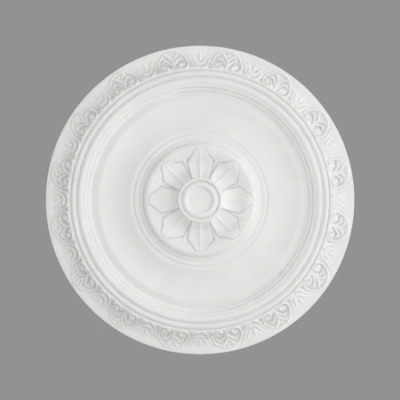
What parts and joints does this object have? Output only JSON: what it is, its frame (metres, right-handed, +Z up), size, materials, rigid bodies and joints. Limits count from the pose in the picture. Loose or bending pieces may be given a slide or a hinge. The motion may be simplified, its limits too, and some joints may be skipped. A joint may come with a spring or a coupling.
{
  "type": "ceiling rose",
  "caption": "Round moulded ceiling rose: ringed disc in a petalled flower, plain dish, stepped mouldings and a border of arched palmettes.",
  "frame": {"origin": "centre of the flat back, in the plane that meets the ceiling", "axes": "+Z up, out of the back towards the ceiling; the moulded face looks down along -Z; +X and -X and +Y and -Y each run through the middle of a petal"},
  "size_m": [0.49, 0.49, 0.0388],
  "materials": {
    "white_primer": "smooth white factory primer on moulded rigid polyurethane, matte"
  },
  "bodies": {
    "root": {"ceiling_rose": "white_primer"}
  },
  "joints": []
}
